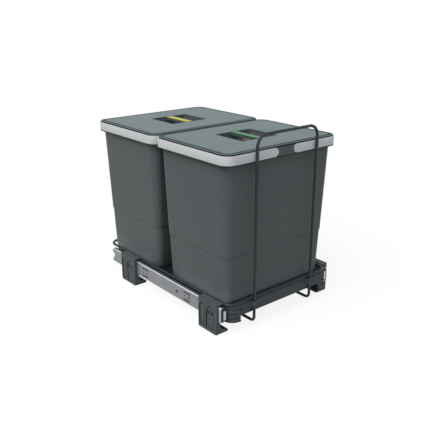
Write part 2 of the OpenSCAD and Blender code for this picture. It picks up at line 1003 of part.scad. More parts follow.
// Dark grip between the ends of the light band
module grip_pad() {
    pad_half = grip_half - play;
    difference() {
        translate([-pad_half, -rim_d / 2 + play, band_z])
            cube([2 * pad_half, band_t + wall, collar_top - band_z]);
        for (x = [-pad_half / 3, pad_half / 3])
            translate([x - grip_groove / 2, -rim_d / 2 - cut, band_z + grip_depth])
                cube([grip_groove, cut + grip_depth / 2, band_h]);
    }
}

module rim_band(i) {
    end_r = band_h / 2;
    color("lightgray")
        translate([0, bin_y(i), 0])
            difference() {
                ring_plate(rim_w, rim_d, rim_r, band_t, band_z, band_h);
                translate([0, -rim_d / 2 - cut, band_z + end_r])
                    difference() {
                        translate([-grip_half - end_r, 0, -band_h])
                            cube([2 * grip_half + 2 * end_r, band_t + 2 * cut, 2 * band_h]);
                        for (s = [-1, 1])
                            translate([s * (grip_half + end_r), 0, 0])
                                rod_y(-cut, band_t + 3 * cut, band_h);
                    }
            }
}

// Dark edge of a lid with a seam round the panel, and the skirt and ledge under it
module lid_frame(i) {
    seam_plan_w = collar_w - 2 * seam_set;
    seam_plan_d = collar_d - 2 * seam_set;
    seam_r = collar_r - seam_set;
    color("dimgray")
        translate([0, bin_y(i), 0]) {
            difference() {
                ring_plate(collar_w, collar_d, collar_r, edge_w, lid_z, edge_t);
                ring_plate(seam_plan_w, seam_plan_d, seam_r, seam_w, lid_top - seam_depth, edge_t);
            }
            ring_plate(skirt_w, skirt_d, skirt_r, skirt_t, lid_z - skirt_h, skirt_h);
            ring_plate(skirt_w, skirt_d, skirt_r, skirt_t + ledge_in, panel_z - lip_under, lip_under);
        }
}

module lid_panel(i) {
    color("lightslategray")
        translate([0, bin_y(i), 0])
            difference() {
                plate(panel_w - 2 * play, panel_d - 2 * play, panel_r - play, panel_z, panel_t - play);
                translate([0, well_back, 0])
                    plate(well_w, well_d, well_r, panel_z - cut, panel_t + 2 * cut);
            }
}

module lid_handle(i) {
    well_z = lid_top - well_h;
    bar_top = lid_top - 2 * play;
    body_w = well_w - 2 * play;
    body_d = well_d - 2 * play;
    flange_w = well_w + 2 * well_flange;
    flange_d = well_d + 2 * well_flange;
    color("dimgray")
        translate([0, bin_y(i) + well_back, 0])
            difference() {
                union() {
                    difference() {
                        union() {
                            plate(body_w, body_d, well_r, well_z, bar_top - well_z);
                            plate(flange_w, flange_d, well_r, panel_z - lip_under, lip_under);
                        }
                        plate(
                            body_w - 2 * well_wall,
                            body_d - 2 * well_wall,
                            well_r - well_wall,
                            well_z + well_wall,
                            well_h
                        );
                    }
                    translate([-bar_w / 2, -well_d / 2 + well_wall, bar_top - bar_t])
                        cube([bar_w, well_d - 2 * well_wall, bar_t]);
                }
                translate([0, 0, bar_top - tab_sink])
                    linear_extrude(2 * tab_sink)
                        rounded(tab_w + play, tab_l + play, tab_w / 3);
            }
}

module lid_tab(i) {
    tab_z = lid_top - 2 * play - tab_sink;
    color(i == 0 ? "seagreen" : "gold")
        translate([0, bin_y(i) + well_back, 0])
            plate(tab_w, tab_l, tab_w / 3, tab_z, tab_t);
}

bracket(-1, front_bracket_y);  // bracket_front_left
bracket(1, front_bracket_y);  // bracket_front_right
bracket(-1, rear_bracket_y);  // bracket_rear_left
bracket(1, rear_bracket_y);  // bracket_rear_right
outer_member(-1);  // outer_member_left
outer_member(1);  // outer_member_right
member_screws(-1);  // member_screws_left
member_screws(1);  // member_screws_right
rear_buffer(-1);  // rear_buffer_left
rear_buffer(1);  // rear_buffer_right
front_bumper(-1);  // front_bumper_left
front_bumper(1);  // front_bumper_right
cage(-1, outer_cage_u, outer_ball_v);  // outer_cage_left
cage(1, outer_cage_u, outer_ball_v);  // outer_cage_right
balls(-1, outer_ball_v);  // outer_balls_left
balls(1, outer_ball_v);  // outer_balls_right
middle_member(-1);  // middle_member_left
middle_member(1);  // middle_member_right
cage(-1, inner_cage_u, inner_ball_v);  // inner_cage_left
cage(1, inner_cage_u, inner_ball_v);  // inner_cage_right
balls(-1, inner_ball_v);  // inner_balls_left
balls(1, inner_ball_v);  // inner_balls_right
inner_member(-1);  // inner_member_left
inner_member(1);  // inner_member_right
side_rail(-1);  // side_rail_left
side_rail(1);  // side_rail_right
rail_screws(-1);  // rail_screws_left
rail_screws(1);  // rail_screws_right
corner_block(-1);  // corner_block_left
corner_block(1);  // corner_block_right
front_rail();
cross_rail();
base_ring();
base_wires();
pull_hoop();
hoop_clips();
bucket(0);  // bucket_front
bucket(1);  // bucket_rear
rim_band(0);  // rim_band_front
rim_band(1);  // rim_band_rear
lid_frame(0);  // lid_frame_front
lid_frame(1);  // lid_frame_rear
lid_panel(0);  // lid_panel_front
lid_panel(1);  // lid_panel_rear
lid_handle(0);  // lid_handle_front
lid_handle(1);  // lid_handle_rear
lid_tab(0);  // lid_tab_front
lid_tab(1);  // lid_tab_rear
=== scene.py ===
import bmesh
import bpy
import numpy as np
from mathutils import Matrix, Vector


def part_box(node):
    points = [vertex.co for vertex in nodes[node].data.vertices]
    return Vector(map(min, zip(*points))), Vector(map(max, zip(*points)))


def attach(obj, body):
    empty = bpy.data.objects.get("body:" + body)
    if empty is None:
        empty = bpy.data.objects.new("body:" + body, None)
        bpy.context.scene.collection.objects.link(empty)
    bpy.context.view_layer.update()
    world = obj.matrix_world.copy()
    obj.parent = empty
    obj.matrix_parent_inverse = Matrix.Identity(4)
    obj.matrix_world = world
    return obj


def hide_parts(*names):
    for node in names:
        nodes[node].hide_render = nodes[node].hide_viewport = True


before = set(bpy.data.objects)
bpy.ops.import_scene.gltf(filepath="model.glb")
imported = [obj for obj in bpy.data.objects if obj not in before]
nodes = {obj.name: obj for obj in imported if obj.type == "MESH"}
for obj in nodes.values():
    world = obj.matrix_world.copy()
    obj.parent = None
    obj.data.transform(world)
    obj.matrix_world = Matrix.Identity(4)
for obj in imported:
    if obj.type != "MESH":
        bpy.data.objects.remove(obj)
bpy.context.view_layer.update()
mm = 0.001
soft = 0.1 * mm  # the width over which one painted area turns into the next
sides = ("left", "right")
bins = ("front", "rear")
print("frame:", len(nodes), "nodes")


def both(*stems):
    return [f"{stem}_{side}" for stem in stems for side in sides]


# Where a node's box lies, in metres

def middleOf(node):
    return np.mean(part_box(node), 0)


def outerFace(node):
    # how far a left-hand piece reaches from the middle plane
    return -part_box(node)[0][0]


def frontOf(node):
    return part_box(node)[0][1]


def underside(node):
    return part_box(node)[0][2]


def topOf(node):
    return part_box(node)[1][2]


# Colours

def tone(red, green, blue):
    # a colour as a screen shows it, 0 to 255, made linear
    share = np.array((red, green, blue)) / 255
    linear = np.where(share > 0.04045, ((share + 0.055) / 1.055) ** 2.4, share / 12.92)
    return (*linear.tolist(), 1.0)


def shade(colour, factor):
    return (*(min(1.0, part * factor) for part in colour[:3]), 1.0)


# Shader maths

class Socket:
    # wraps a shader socket, so that arithmetic on it adds Math nodes
    def __init__(self, finish, out):
        self.finish, self.out = finish, out

    def __add__(self, other):
        return self.finish.maths("ADD", self, other)

    def __radd__(self, other):
        return self.finish.maths("ADD", other, self)

    def __sub__(self, other):
        return self.finish.maths("SUBTRACT", self, other)

    def __rsub__(self, other):
        return self.finish.maths("SUBTRACT", other, self)

    def __mul__(self, other):
        return self.finish.maths("MULTIPLY", self, other)

    def __rmul__(self, other):
        return self.finish.maths("MULTIPLY", other, self)

    def __abs__(self):
        return self.finish.maths("ABSOLUTE", self)


class Finish:
    # one procedural material, a Principled shader and the nodes that feed it, or the nodes of a given tree
    def __init__(self, name=None, tree=None):
        if tree:
            self.tree = tree
            return
        self.material = bpy.data.materials.new(name)
        self.material.use_nodes = True
        self.tree = self.material.node_tree
        self.tree.nodes.clear()
        self.shader = self.tree.nodes.new("ShaderNodeBsdfPrincipled")
        self.end = self.tree.nodes.new("ShaderNodeOutputMaterial")
        self.tree.links.new(self.shader.outputs[0], self.end.inputs[0])

    def feed(self, entry, value):
        if isinstance(value, Socket):
            self.tree.links.new(value.out, entry)
        else:
            entry.default_value = value

    def add(self, kind, settings, sockets, take=0):
        # a node of any kind: its settings go in first, then the values or links of its sockets; take is the
        # name or number of the output that is used
        node = self.tree.nodes.new("ShaderNode" + kind)
        for key, value in settings.items():
            setattr(node, key, value)
        for key, value in sockets.items():
            self.feed(node.inputs[key], value)
        return Socket(self, node.outputs[take])

    def maths(self, operation, *values):
        return self.add("Math", {"operation": operation}, dict(enumerate(values)))

    def place(self, stretch=(1, 1, 1)):
        # the object's own coordinates in metres, stretched along its axes
        here = self.add("TexCoord", {}, {}, "Object")
        return self.add("Mapping", {}, {"Vector": here, "Scale": stretch})

    def axis(self, which):
        # one of the object's own coordinates, in metres: 0 across, 1 front to back, 2 up
        return self.add("SeparateXYZ", {}, {"Vector": self.place()}, which)

    def ramp(self, value, low, high):
        # 0 at low and 1 at high, held beyond them
        return self.add("MapRange", {}, {"Value": value, "From Min": low, "From Max": high})

    def within(self, value, low, high):
        # 1 between low and high, with a soft start and end inside them
        return self.ramp(value, low, low + soft) * self.ramp(value, high, high - soft)

    def noise(self, size, detail=2.0, stretch=(1, 1, 1), roughness=0.5):
        # cloudy values about 0.5, with spots of the given size in metres
        return self.add("TexNoise", {}, {"Vector": self.place(stretch), "Scale": 1 / size, "Detail": detail,
                                         "Roughness": roughness}, "Fac")

    def mix(self, share, first, second):
        # of a Mix node's sockets, 6 and 7 take the two colours and output 2 gives their mix
        return self.add("Mix", {"data_type": "RGBA"}, {0: share, 6: first, 7: second}, 2)

    def bump(self, height, depth, strength=1.0, under=None):
        # depth is how far, in metres, a height of 1 stands out
        sockets = {"Height": height, "Distance": depth, "Strength": strength}
        if under:
            sockets["Normal"] = under
        return self.add("Bump", {}, sockets)

    def close(self, **sockets):
        for key, value in sockets.items():
            self.feed(self.shader.inputs[key.replace("_", " ")], value)
        return self.material


def swing(noise, reach):
    # noise about its middle, up to half the reach either way
    return (noise - 0.5) * reach


# Painted shade and painted light: areas whose colour is made darker or lighter than the rest of a piece, to
# stand for shade or light that falls there, each as a share from 0 to 1

def shadedHollowShare(finish, sunk):
    # painted shade on the walls and floors of grooves, slots and holes: below the outer face, away from the
    # piece's own edges
    across, along, up = (finish.axis(which) for which in range(3))
    middle, half = sunk["middle"], sunk["half"]
    share = finish.within(abs(across), *sunk["across"])
    share = share * finish.ramp(abs(abs(along - middle[1]) - sunk["apart"]), half[1], half[1] - soft)
    return share * finish.ramp(abs(up - middle[2]), half[2], half[2] - soft)


def shadedGapShare(finish, span):
    # painted shade in the gap under the light band
    return finish.within(finish.axis(2), *span)


def litFeetShare(finish, lift):
    # painted light on the walls' feet, which stand behind the tray's rails: they are lightened as if they
    # caught the light that these throw back, save in the gap between the buckets
    share = finish.ramp(finish.axis(2), lift["top"], lift["foot"])
    apart = finish.ramp(abs(finish.axis(1) - lift["gapMiddle"]), lift["near"], lift["far"])
    return share * share * apart


def archShadeShare(finish, arched):
    # painted shade in lines along the inside of upright arches, on the outer side only; each arch's outline
    # lies where the length of (distance along, rise over the spring line) is its half width
    along, up = finish.axis(1), finish.axis(2)
    share = 0.0
    for middle, half, foot, spring in arched["arches"]:
        side = along - middle
        rise = finish.maths("MAXIMUM", up - spring, 0.0)
        length = finish.maths("SQRT", side * side + rise * rise)
        line = finish.within(length - half, -arched["wide"], soft) * finish.ramp(up, foot - soft, foot)
        share = finish.maths("MAXIMUM", share, line)
    return share * finish.ramp(abs(finish.axis(0)), *arched["across"])


def soleShadeShare(finish, height):
    # painted shade along the edge that stands on the floor
    return finish.ramp(finish.axis(2), height + soft, height)


def wellLightShare(finish, span):
    # painted light on a deep well's floor, lighter towards the bottom, as if it caught light from its walls
    low, high = span
    return finish.ramp(finish.axis(2), high, low)


# a look that has one of these names gives the area's place; the factor is what the colour is multiplied by,
# below 1 for painted shade and above 1 for painted light
paints = {"shadedHollow": (shadedHollowShare, 0.1), "gap": (shadedGapShare, 0.2), "lift": (litFeetShare, 2.3),
          "arches": (archShadeShare, 0.25), "soleShade": (soleShadeShare, 0.3), "floor": (wellLightShare, 1.7)}


def sunkBox(first, last, depths, margin):
    # the room of two like pieces, one behind the other, that holds only sunk faces: between two depths under
    # the outer face and a margin inside the outline; a piece that stands alone is both the first and the last
    middle, other = middleOf(first), middleOf(last)
    half = np.ptp(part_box(first), 0) / 2 - margin
    return {"across": [outerFace(first) - depth for depth in depths],
            "middle": ((middle + other) / 2).tolist(), "apart": float(other[1] - middle[1]) / 2,
            "half": half.tolist()}


# Moulded plastics

mouldSet = {"shine": 0.18, "rough": 0.52, "ior": 1.48, "grain": 0.6 * mm, "depth": 0.03 * mm,
            "cloud": 60 * mm, "drift": 0.03}
grainSet = {"pebble": 3.3, "pebbleDepth": 1.5, "dust": 0.25, "dustLight": 1.25, "cloudRough": 0.12,
            "grainRough": 0.08, "grainBump": 0.6, "pebbleBump": 0.5}


def mouldedPlastic(name, look):
    # fine tool grain over a coarser pebble, and faint flow clouds
    finish = Finish(name)
    base = look["colour"]
    clouds = finish.noise(look["cloud"], detail=3.0)
    grain = finish.noise(look["grain"], roughness=0.6)
    pebble = finish.noise(look["grain"] * grainSet["pebble"], detail=1.0)
    colour = finish.mix(clouds, shade(base, 1 - look["drift"]), shade(base, 1 + look["drift"]))
    colour = finish.mix(grain * grainSet["dust"], colour, shade(base, grainSet["dustLight"]))
    # painted shade and painted light over the areas that the look names
    for area, (share, factor) in paints.items():
        if area in look:
            colour = finish.mix(share(finish, look[area]), colour, shade(base, factor))
    rough = look["rough"] + swing(clouds, grainSet["cloudRough"]) + swing(grain, grainSet["grainRough"])
    normal = finish.bump(grain, look["depth"], grainSet["grainBump"])
    normal = finish.bump(pebble, look["depth"] * grainSet["pebbleDepth"], grainSet["pebbleBump"], normal)
    return finish.close(Base_Color=colour, Roughness=rough, Normal=normal, IOR=look["ior"],
                        Specular_IOR_Level=look["shine"])


# where the painted light on the buckets' feet lies and fades
litFeetSet = {"top": underside("bucket_front") + 51 * mm, "foot": underside("bucket_front") + 8 * mm,
           "gapMiddle": float(np.mean([middleOf(f"bucket_{bin}")[1] for bin in bins])),
           "near": 25 * mm, "far": 60 * mm}
# where the painted shade lines in the brackets' arch grooves lie
archSet = {"front": (18.75 * mm, 11.75 * mm), "rear": (43 * mm, 8.5 * mm), "foot": 7 * mm, "tall": 48 * mm,
           "wide": 2.2 * mm, "depths": (3.3 * mm, 3.1 * mm)}


def bracketArches(values):
    # two arches on each bracket, placed from its front edge: middle, half width, foot and spring line
    arches = [(frontOf(f"bracket_{bin}_left") + middle, half, values["foot"],
               values["foot"] + values["tall"] - half)
              for bin in bins for middle, half in (values["front"], values["rear"])]
    face = outerFace("bracket_front_left")
    return {"arches": arches, "wide": values["wide"], "across": [face - depth for depth in values["depths"]]}


bandFoot, wellFoot = underside("rim_band_front"), underside("lid_handle_front")
# the brackets' sunk faces, which take painted shade
bracketSunk = sunkBox("bracket_front_left", "bracket_rear_left", depths=(2.3 * mm, 1 * mm), margin=1.5 * mm)
tabLook = {"shine": 0.2, "rough": 0.34, "grain": 0.5 * mm, "depth": 0.01 * mm, "cloud": 20 * mm}
sturdyLook = {"rough": 0.55, "depth": 0.04 * mm, "cloud": 30 * mm, "drift": 0.05}
plasticLook = {
    # the area under the band is painted shade, and the walls' feet behind the rails are painted light
    "bucket": {"colour": tone(80, 85, 85), "rough": 0.5, "grain": 0.7 * mm, "depth": 0.04 * mm,
               "cloud": 90 * mm, "gap": (bandFoot - 3 * mm, bandFoot + 0.3 * mm), "lift": litFeetSet},
    # the lid edge's plastic in two copies: the dark one, on the walls, the seam and the flat beside it, also
    # stands for painted shade there; the lighter one is painted light on the sloped strip
    "lidEdge": {"colour": tone(38, 45, 47), "shine": 0.06},
    "litLidStrip": {"colour": tone(84, 96, 99)},
    # the well's floor is painted light
    "well": {"colour": tone(79, 84, 86), "shine": 0.1, "rough": 0.6,
             "floor": (wellFoot + 2.1 * mm, wellFoot + 17.1 * mm)},
    "lidPanel": {"colour": tone(102, 115, 117), "rough": 0.55, "cloud": 70 * mm, "drift": 0.025},
    "band": {"colour": tone(198, 198, 197), "shine": 0.3, "rough": 0.42, "grain": 0.5 * mm,
             "depth": 0.02 * mm, "cloud": 50 * mm, "drift": 0.02},
    # the bracket's sunk faces, arch lines and the edge on the floor are painted shade
    "bracket": {"colour": tone(73, 79, 80), **sturdyLook, "shadedHollow": bracketSunk,
                "arches": bracketArches(archSet), "soleShade": 1.2 * mm},
    "corner": {"colour": tone(62, 68, 70), **sturdyLook},
    "tabGreen": {"colour": tone(22, 98, 40), **tabLook},
    "tabYellow": {"colour": tone(172, 166, 44), **tabLook},
}
plastic = {name: mouldedPlastic(name + "Plastic", {**mouldSet, **look}) for name, look in plasticLook.items()}


# Plated steels

stripSet = {"dark": 0.82, "light": 1.1, "stained": 0.4, "sunk": 0.06, "pit": 0.6 * mm, "streakRough": 0.22,
            "cloudRough": 0.15, "streakDepth": 0.06 * mm, "streakBump": 0.5, "pitDepth": 0.02 * mm,
            "pitBump": 0.4}


def edgeHighlights(finish, colour, base, edgeLight):
    # painted highlights on the bend along the top and on the end in front of the bracket; painted shade on
    # the flange behind the bend
    height = finish.ramp(finish.axis(2), edgeLight["bend"] - edgeLight["bendSoft"], edgeLight["bend"])
    front = finish.ramp(finish.axis(1), edgeLight["end"] + edgeLight["endSoft"], edgeLight["end"])
    colour = finish.mix(finish.maths("MAXIMUM", height, front), colour, shade(base, edgeLight["bright"]))
    inner = finish.ramp(abs(finish.axis(0)), edgeLight["flange"] + edgeLight["flangeSoft"], edgeLight["flange"])
    return finish.mix(height * inner, colour, shade(base, edgeLight["flangeShade"]))


def zincSteel(name, look):
    # cold-rolled strip, plated: long rolling streaks, soft clouding and fine pits
    finish = Finish(name)
    base = look["colour"]
    streaks = finish.noise(look["streak"], detail=3.0, stretch=(1, look["along"], 1), roughness=0.65)
    clouds = finish.noise(look["cloud"], detail=4.0)
    pits = finish.noise(stripSet["pit"], detail=1.0)
    colour = finish.mix(streaks, shade(base, stripSet["dark"]), shade(base, stripSet["light"]))
    colour = finish.mix(clouds * stripSet["stained"], colour, look["stain"])
    # painted shade in the slots of the outer member, darkened by the factor sunk
    if "shadedHollow" in look:
        colour = finish.mix(shadedHollowShare(finish, look["shadedHollow"]), colour, shade(base, stripSet["sunk"]))
    # painted highlights and painted shade along the top and the front end
    if "edgeLight" in look:
        colour = edgeHighlights(finish, colour, base, look["edgeLight"])
    rough = look["rough"] + swing(streaks, stripSet["streakRough"]) + swing(clouds, stripSet["cloudRough"])
    normal = finish.bump(streaks, stripSet["streakDepth"], stripSet["streakBump"])
    normal = finish.bump(pits, stripSet["pitDepth"], stripSet["pitBump"], normal)
    return finish.close(Base_Color=colour, Roughness=rough, Metallic=look["metal"], Normal=normal)


# painted highlight on the top bend and the front end, and painted shade on the flange behind the bend
edgeLightSet = {"bright": 2.6, "bend": topOf("outer_member_left") - 0.5 * mm, "bendSoft": 0.8 * mm,
          "end": frontOf("bracket_front_left"), "endSoft": 0.5 * mm,
          "flangeShade": 0.38, "flange": outerFace("outer_member_left") - 3.3 * mm, "flangeSoft": 1 * mm}
# the outer members' slots, which take painted shade
memberSunk = sunkBox("outer_member_left", "outer_member_left", depths=(1.4 * mm, 0.02 * mm), margin=5 * mm)
steelLook = {
    "runner": {"colour": tone(142, 143, 145), "stain": tone(112, 113, 115), "rough": 0.42, "metal": 0.4,
               "streak": 3 * mm, "along": 0.004, "cloud": 20 * mm, "shadedHollow": memberSunk, "edgeLight": edgeLightSet},
    "bright": {"colour": tone(206, 208, 210), "stain": tone(176, 178, 180), "rough": 0.4, "metal": 0.35,
               "streak": 1.4 * mm, "along": 0.015, "cloud": 20 * mm},
    "cage": {"colour": tone(74, 75, 76), "stain": tone(52, 52, 50), "rough": 0.45, "metal": 0.7,
             "streak": 1 * mm, "along": 0.05, "cloud": 10 * mm},
    # the middle members' steel is darkened as painted shade, so that the slots in the outer members read dark
    "shadedMiddle": {"colour": tone(106, 107, 109), "stain": tone(80, 80, 80), "rough": 0.45, "metal": 0.45,
                "streak": 1.2 * mm, "along": 0.04, "cloud": 20 * mm},
    "screw": {"colour": tone(168, 168, 166), "stain": tone(120, 118, 112), "rough": 0.38, "metal": 0.95,
              "streak": 0.8 * mm, "along": 1, "cloud": 4 * mm},
    "darkScrew": {"colour": tone(26, 27, 28), "stain": tone(20, 20, 20), "rough": 0.4, "metal": 0.8,
                  "streak": 0.8 * mm, "along": 1, "cloud": 4 * mm},
}
steel = {name: zincSteel(name + "Steel", look) for name, look in steelLook.items()}


# Paint, rubber and balls

coatSet = {"peel": 1.3 * mm, "peelRough": 0.16, "peelDepth": 0.08 * mm, "peelBump": 0.7, "cloud": 45 * mm,
           "dark": 0.9, "light": 1.12, "shine": 0.25, "coat": 0.05, "coatRough": 0.3}
rubberSet = {"bloom": 4 * mm, "dark": 0.8, "light": 1.5, "rough": 0.72, "bloomRough": 0.2, "skin": 0.9 * mm,
             "skinDepth": 0.05 * mm, "skinBump": 0.6}
ballSet = {"grease": 1.5 * mm, "dark": 0.75, "rough": 0.08, "greaseRough": 0.18}


def powderCoat(name, base, rough):
    # satin paint baked from powder: an orange-peel skin and faint clouds
    finish = Finish(name)
    peel = finish.noise(coatSet["peel"], roughness=0.45)
    clouds = finish.noise(coatSet["cloud"], detail=3.0)
    colour = finish.mix(clouds, shade(base, coatSet["dark"]), shade(base, coatSet["light"]))
    normal = finish.bump(peel, coatSet["peelDepth"], coatSet["peelBump"])
    return finish.close(Base_Color=colour, Roughness=rough + swing(peel, coatSet["peelRough"]), Normal=normal,
                        Specular_IOR_Level=coatSet["shine"], Coat_Weight=coatSet["coat"],
                        Coat_Roughness=coatSet["coatRough"])


def mouldedRubber(name, base):
    # a matt skin with a pale bloom
    finish = Finish(name)
    bloom = finish.noise(rubberSet["bloom"], detail=3.0)
    colour = finish.mix(bloom, shade(base, rubberSet["dark"]), shade(base, rubberSet["light"]))
    rough = rubberSet["rough"] + swing(bloom, rubberSet["bloomRough"])
    normal = finish.bump(finish.noise(rubberSet["skin"]), rubberSet["skinDepth"], rubberSet["skinBump"])
    return finish.close(Base_Color=colour, Roughness=rough, Normal=normal)


def polishedBall(name, base):
    # bright steel, dulled by spots of grease
    finish = Finish(name)
    grease = finish.noise(ballSet["grease"])
    colour = finish.mix(grease, base, shade(base, ballSet["dark"]))
    rough = ballSet["rough"] + grease * ballSet["greaseRough"]
    return finish.close(Base_Color=colour, Roughness=rough, Metallic=1.0)


# the cross rail's near-black coat stands for painted shade in the gap between the buckets
shadedRailPaint = powderCoat("shadedRailPaint", tone(22, 26, 28), rough=0.5)
framePaint = powderCoat("framePaint", tone(36, 42, 44), rough=0.45)
bufferRubber = mouldedRubber("bufferRubber", tone(14, 14, 15))
ballSteel = polishedBall("ballSteel", tone(216, 216, 214))
print("finishes:", len(bpy.data.materials))


def dress(material, *names):
    for name in names:
        slots = nodes[name].data.materials
        slots.clear()
        slots.append(material)


dress(plastic["bracket"], *both("bracket_front", "bracket_rear"))
dress(steel["darkScrew"], *both("member_screws"))
dress(steel["runner"], *both("outer_member"))
dress(steel["bright"], *both("inner_member"))
dress(steel["shadedMiddle"], *both("middle_member"))
dress(steel["cage"], *both("outer_cage", "inner_cage"))
dress(ballSteel, *both("outer_balls", "inner_balls"))
dress(steel["screw"], *both("rail_screws"))
dress(bufferRubber, *both("rear_buffer", "front_bumper"))
dress(framePaint, *both("side_rail"), "base_ring", "base_wires", "pull_hoop")
dress(shadedRailPaint, "cross_rail")
dress(plastic["corner"], *both("corner_block"), "front_rail", "hoop_clips")
dress(plastic["bucket"], "bucket_front", "bucket_rear")
dress(plastic["band"], "rim_band_front", "rim_band_rear")
dress(plastic["lidEdge"], "lid_frame_front", "lid_frame_rear")
dress(plastic["well"], "lid_handle_front", "lid_handle_rear")
dress(plastic["lidPanel"], "lid_panel_front", "lid_panel_rear")
dress(plastic["tabGreen"], "lid_tab_front")
dress(plastic["tabYellow"], "lid_tab_rear")


# Surfaces worked out on grids

sharpTurn = np.radians(38)  # faces that meet at a wider angle than this shade with an edge between them


def quarterTurn(steps):
    # equal angles from 0 to a right angle
    return np.linspace(0, np.pi / 2, steps + 1)


def roundedOutline(width, depth, radius, steps=14, hold=1.5 * mm):
    # a rounded rectangle in plan, anticlockwise from just before its right rear corner: four corner arcs,
    # with one more point on the straights just past both ends of each arc, so that the walls between them
    # shade flat
    turn = quarterTurn(steps)
    arc = np.concatenate(([radius - 1j * hold], radius * np.exp(1j * turn), [-hold + 1j * radius]))
    reach = (width / 2 - radius, depth / 2 - radius)
    signs = ((1, 1), (-1, 1), (-1, -1), (1, -1))
    quarters = [arc * 1j ** quarter + right * reach[0] + 1j * back * reach[1]
                for quarter, (right, back) in enumerate(signs)]
    points = np.concatenate(quarters)
    return np.column_stack((points.real, points.imag))


def bentPath(corners, radii, steps=12, closed=False):
    # straight runs between corners; at each corner an arc of the given radius, tangent to both runs. Seen
    # from the arc's middle, its points are the two ends mixed by the sines of the angles left and gone
    corners = np.array(corners, dtype=float)
    count = len(corners)
    parts = [] if closed else [corners[:1]]
    for place in range(count) if closed else range(1, count - 1):
        here, before, after = corners[place], corners[place - 1], corners[(place + 1) % count]
        back = (before - here) / np.linalg.norm(before - here)
        on = (after - here) / np.linalg.norm(after - here)
        half = np.arccos(np.clip(back @ on, -1, 1)) / 2
        middle = here + (back + on) / np.linalg.norm(back + on) * radii[place] / np.sin(half)
        start = here + back * radii[place] / np.tan(half) - middle
        end = here + on * radii[place] / np.tan(half) - middle
        sweep = np.pi - 2 * half
        share = np.linspace(0, 1, steps + 1)[:, None]
        arc = (start * np.sin((1 - share) * sweep) + end * np.sin(share * sweep)) / np.sin(sweep)
        parts.append(middle + arc)
    if not closed:
        parts.append(corners[-1:])
    return np.vstack(parts)


def roundedSection(corners, radius, steps=3):
    # a closed outline of (inset, height) corners, each turned by a small arc
    flat = [(inset, height, 0.0) for inset, height in corners]
    return bentPath(flat, [radius] * len(flat), steps, closed=True)[:, :2]


def directions(path, closed):
    # the unit direction of a path at each of its points, halfway between the runs before and after it
    steps = np.roll(path, -1, 0) - path
    unit = steps / np.linalg.norm(steps, axis=1)[:, None]
    if not closed:
        unit[-1] = unit[-2]
    before = np.roll(unit, 1, 0)
    if not closed:
        before[0] = unit[0]
    along = unit + before
    return along / np.linalg.norm(along, axis=1)[:, None]


def tubeRows(path, radius, sides=20, closed=False):
    # a circle square to the path at each of its points; the lean (1, 1, 1) is parallel to no run of the wires
    along = directions(path, closed)
    lean = np.array((1.0, 1.0, 1.0))
    across = lean - (along @ lean)[:, None] * along
    across /= np.linalg.norm(across, axis=1)[:, None]
    over = np.cross(along, across)
    turn = np.linspace(0, 2 * np.pi, sides, endpoint=False)
    ring = across[:, None] * np.cos(turn)[None, :, None] + over[:, None] * np.sin(turn)[None, :, None]
    return path[:, None] + ring * radius


def carriedRows(path, section, closed, share=None):
    # a section of (inset, height) carried along a plan path that runs anticlockwise; share scales its height
    along = directions(path, closed)
    inward = np.column_stack((-along[:, 1], along[:, 0]))
    plan = path[:, None] + inward[:, None] * section[None, :, :1]
    height = np.broadcast_to(section[None, :, 1], plan.shape[:2])
    if share is not None:
        height = height * share[:, None]
    return np.dstack((plan, height))


def ringRows(rings, width, depth):
    # rounded rectangles one over another: each ring is an inset from the rim, a corner radius and a height
    rows = []
    for inset, corner, height in rings:
        outline = roundedOutline(width - 2 * inset, depth - 2 * inset, corner)
        rows.append(np.column_stack((outline, np.full(len(outline), height))))
    return np.array(rows)


def gridPiece(name, rows, material, body, closed=False):
    # rows are closed loops of points, one after another, and quads join them; the end loops are capped, or
    # joined to each other where the piece is closed
    loops, points = rows.shape[:2]
    index = np.arange(loops * points).reshape(loops, points)
    first, second = (index, np.roll(index, -1, 0)) if closed else (index[:-1], index[1:])
    beside, across = np.roll(first, -1, 1), np.roll(second, -1, 1)
    quads = np.stack((first, beside, across, second), -1).reshape(-1, 4).tolist()
    caps = [] if closed else [index[0][::-1].tolist(), index[-1].tolist()]
    mesh = bpy.data.meshes.new(name)
    mesh.from_pydata(rows.reshape(-1, 3), [], quads + caps)
    mesh.polygons.foreach_set("use_smooth", np.ones(len(mesh.polygons), dtype=bool))
    shape = bmesh.new()
    shape.from_mesh(mesh)
    bmesh.ops.recalc_face_normals(shape, faces=shape.faces)
    shape.to_mesh(mesh)
    shape.free()
    mesh.set_sharp_from_angle(angle=sharpTurn)
    mesh.materials.append(material)
    piece = bpy.data.objects.new(name, mesh)
    bpy.context.scene.collection.objects.link(piece)
    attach(piece, body)
    return piece


# Buckets

rimSet = {"width": 300 * mm, "depth": 226 * mm, "corner": 22 * mm, "collar": 2.2 * mm, "rise": 16.5 * mm}
bucketSet = {
    **rimSet, "height": 282 * mm, "topInset": 8.5 * mm, "baseInset": 18.5 * mm, "belt": 98 * mm,
    "beltStep": 1.1 * mm, "wall": 2.2 * mm, "foot": 5 * mm, "flange": 2.2 * mm, "edge": 0.5 * mm, "steps": 6,
}


